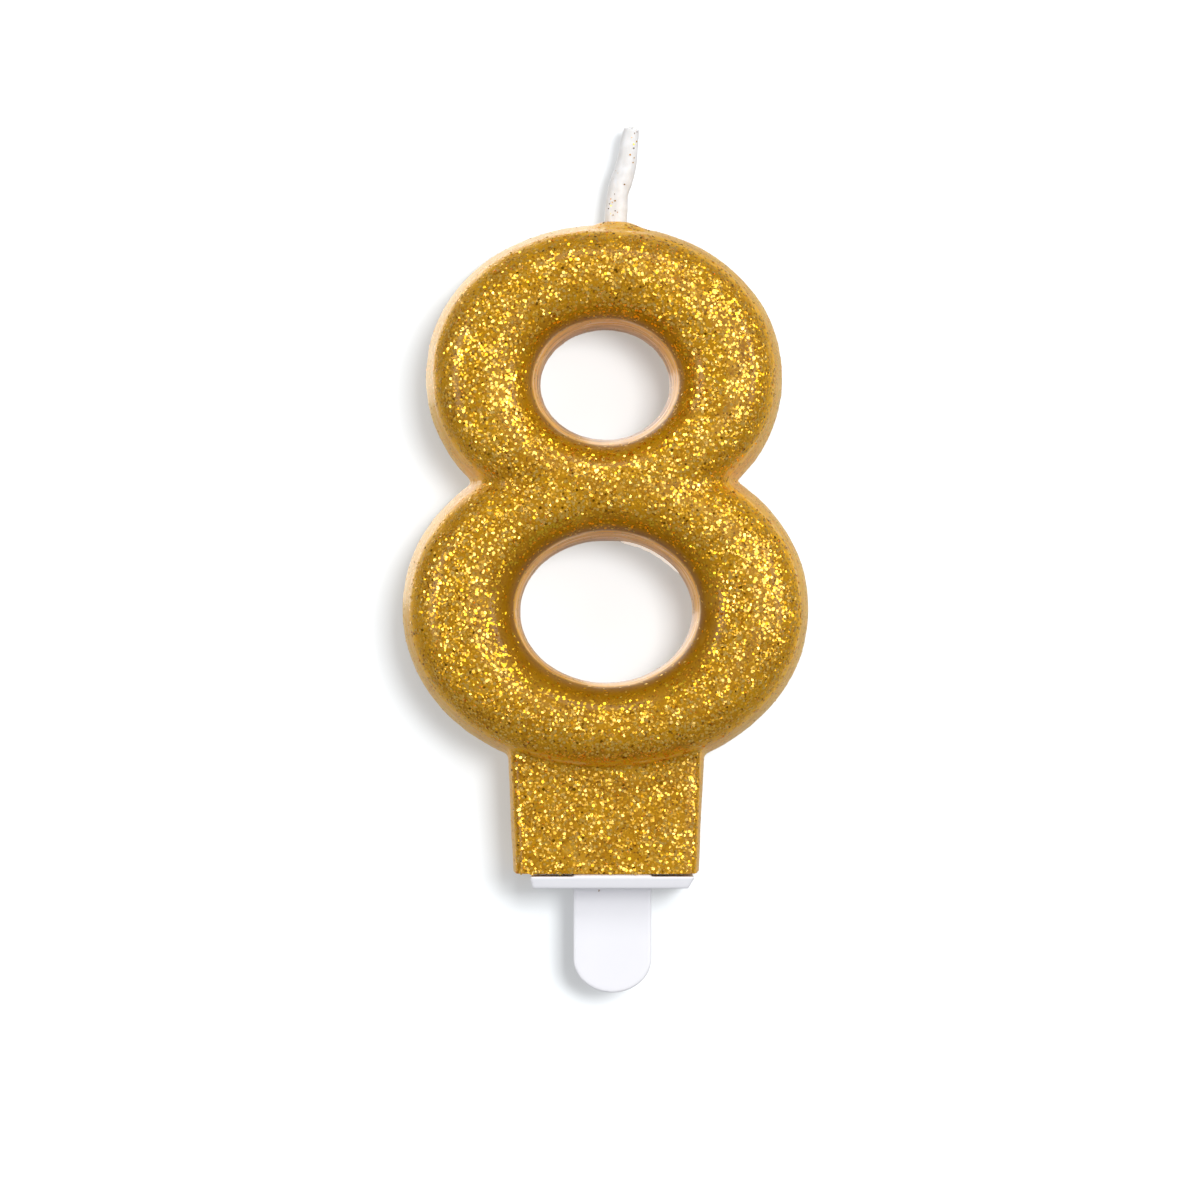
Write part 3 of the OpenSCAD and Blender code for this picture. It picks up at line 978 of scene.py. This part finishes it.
def make_strands():
    bm = bmesh.new()
    for strand in range(3):
        start = math.tau * strand / 3
        points = []
        for step in range(5):
            turn = start + 0.5 * step
            points.append(Vector((
                strand_foot[0] + strand_rise[0] * step + strand_radius * math.cos(turn),
                wick_depth + strand_radius * math.sin(turn),
                strand_foot[1] + strand_rise[1] * step)))
        sweep(bm, through(points, 3), lambda share, angle: strand_radius - 0.04 * share,
              sides=10)
    return piece_from(bm, "wick_strands")


strands = make_strands()
finish_piece(strands, cotton_finish, replaces=["wick_braid"])
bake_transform(strands)

# %% Buried wick
# Middle line of the cotton in the wax: x, depth, z
buried_route = [(0.4, 1.8, 67.6), (-0.6, 1.8, 66.4), (-3.5, 1.8, 64.6), (-6.8, 1.8, 62.2),
                (-9.6, 1.8, 58.6), (-11, 1.8, 54), (-10.6, 1.8, 49.5), (-8.4, 1.9, 45.8),
                (-5.2, 2.2, 42.4), (-2.0, 2.8, 39.0), (0.2, 3.2, 37.0), (1.53, 3.3, 36.2),
                (2.8, 3.35, 35.83), (4.18, 3.35, 35.23), (5.56, 3.35, 34.35),
                (6.84, 3.25, 33.33), (9.6, 2.6, 31.2), (11.4, 2, 28.4), (12.1, 1.8, 25),
                (11.2, 1.8, 21.4), (8.8, 1.8, 18)]
buried_radius, buried_relief, buried_twist = 0.5, 0.08, 150


def make_buried_wick():
    def radius(share, angle):
        return buried_radius * (1 + buried_relief * math.cos(3 * angle + buried_twist * share))

    bm = bmesh.new()
    line = through([Vector(point) for point in buried_route], 4)
    sweep(bm, line, radius, sides=12)
    return piece_from(bm, "buried_wick")


buried = make_buried_wick()
finish_piece(buried, buried_finish, replaces=["wick_core"])
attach(buried, "candle")

# %% [markdown]
# ## The cake pick
#
# The pick is one injection moulding in white plastic: a plate with a low step that the wax
# rests on, a blade with a round end that goes into the cake, and a tang that goes up into the
# foot. Moulded parts have no sharp inside corners, so all the blocks are wrapped in one voxel
# skin and smoothed lightly, which gives every edge and corner a small radius.

# %% Pick
blade_length = 10.95
blade_end = 3.55
plate_size = (17.1, 8.0, 1.25)
plate_taper = (0.3, 0.7, 0.45)
step_half, step_top = (3.95, 3.7), 1.5
# Height inside the plate where the blade, the tang and the step meet
join_height = 0.6
pick_voxel = 0.14


def add_block(bm, low, high, taper=(0, 0, 0)):
    """A box between two corners. Its bottom is drawn in at the left, the right and the front."""
    block = bmesh.new()
    bmesh.ops.create_cube(block, size=1)
    for vert in block.verts:
        vert.co = [high[k] if vert.co[k] > 0 else low[k] for k in range(3)]
        if vert.co.z < low[2] + 1e-5:
            vert.co.x += taper[0] if vert.co.x < 0 else -taper[1]
            vert.co.y += taper[2] if vert.co.y < 0 else 0
    add_mesh_of(bm, block)


def make_pick():
    bm = bmesh.new()
    half, thick = tang_width / 2, tang_thick / 2
    plate_x, plate_y = plate_size[0] / 2, plate_size[1] / 2
    step_x, step_y = step_half
    add_block(bm, (-half, -thick, blade_end - blade_length), (half, thick, join_height))
    add_block(bm, (-half, -thick, join_height), (half, thick, tang_top))
    add_block(bm, (-plate_x, -plate_y, 0), (plate_x, plate_y, plate_size[2]), plate_taper)
    add_block(bm, (-step_x, -step_y, join_height), (step_x, step_y, step_top))
    end = bmesh.new()
    bmesh.ops.create_cone(end, cap_ends=True, segments=96, radius1=1, radius2=1, depth=tang_thick,
                          matrix=Matrix.Rotation(math.radians(90), 4, "X"))
    bmesh.ops.scale(end, verts=end.verts, vec=(half, 1, blade_end))
    bmesh.ops.translate(end, verts=end.verts, vec=(0, 0, blade_end - blade_length))
    add_mesh_of(bm, end)
    pick = piece_from(bm, "pick_moulding")
    remesh = pick.modifiers.new("one_skin", "REMESH")
    remesh.mode = "VOXEL"
    remesh.voxel_size = pick_voxel
    soften = pick.modifiers.new("soften", "SMOOTH")
    soften.factor = 0.5
    soften.iterations = 4
    apply_modifiers(pick)
    return pick


pick = make_pick()
finish_piece(pick, plastic_finish, replaces=["cake_pick"])
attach(pick, "pick")

# %% [markdown]
# ## Stray flakes
#
# Glitter gets everywhere. Some flakes stuck to the white wick while the lacquer was wet, and
# two fell on the pick's blade, one on each side.

# %% Stray flakes
def strays(name, spots, sizes):
    """Deep gold flakes at chosen places, many drawn dark as painted dark reflections: each spot
    is the place and the way that it faces.
    """
    places = np.array([spot[0] for spot in spots], float)
    facing = np.array([Vector(spot[1]).normalized() for spot in spots], float)
    rng = np.random.default_rng(3)
    return flakes(name, places, facing, rng, sizes=sizes, proud=0.03, tints=0.07)


def on_wick(height, angle):
    """A place on the wick's surface and the way out from it, angle round from the front."""
    for (x0, z0, w0), (x1, z1, w1) in zip(wick_shape, wick_shape[1:]):
        if z0 <= height <= z1:
            t = (height - z0) / (z1 - z0)
            out = Vector((math.sin(angle), -math.cos(angle), 0))
            middle = Vector((x0 + t * (x1 - x0), wick_depth, height))
            return middle + out * (w0 + t * (w1 - w0)) / 2, out


wick_flakes = [on_wick(height, angle) for height, angle in (
    (78.45, 0.45), (78.0, 0.2), (77.3, 0.55), (76.2, 0.25), (75.4, 0.7), (74.5, -0.95),
    (74.3, -0.6), (73.1, 0.4), (72.1, -0.3), (71.25, -0.45), (71.1, -0.75), (70.9, -0.55),
    (70.35, -0.1), (70.05, -0.5), (72.6, 2.4), (75.2, 2.9), (77.1, 3.5), (70.8, 3.6),
    (78.6, 0.8), (77.6, 0.9), (76.9, 0.6), (75.9, 0.75), (71.6, -0.65), (70.6, -0.8),
    (70.2, 0.1), (69.9, -0.25), (71.4, -0.2), (73.7, -0.9))]
wick_glitter = strays("wick_glitter", wick_flakes, sizes=(0.05, 0.1))
finish_piece(wick_glitter, flake_finish, smooth=False)
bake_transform(wick_glitter)

pick_flakes = [((-1.4, -0.8, -0.35), (0, -1, 0)), ((2.3, 0.8, -3.1), (0, 1, 0))]
pick_glitter = strays("pick_glitter", pick_flakes, sizes=(0.1, 0.14))
finish_piece(pick_glitter, flake_finish, smooth=False)
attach(pick_glitter, "pick")
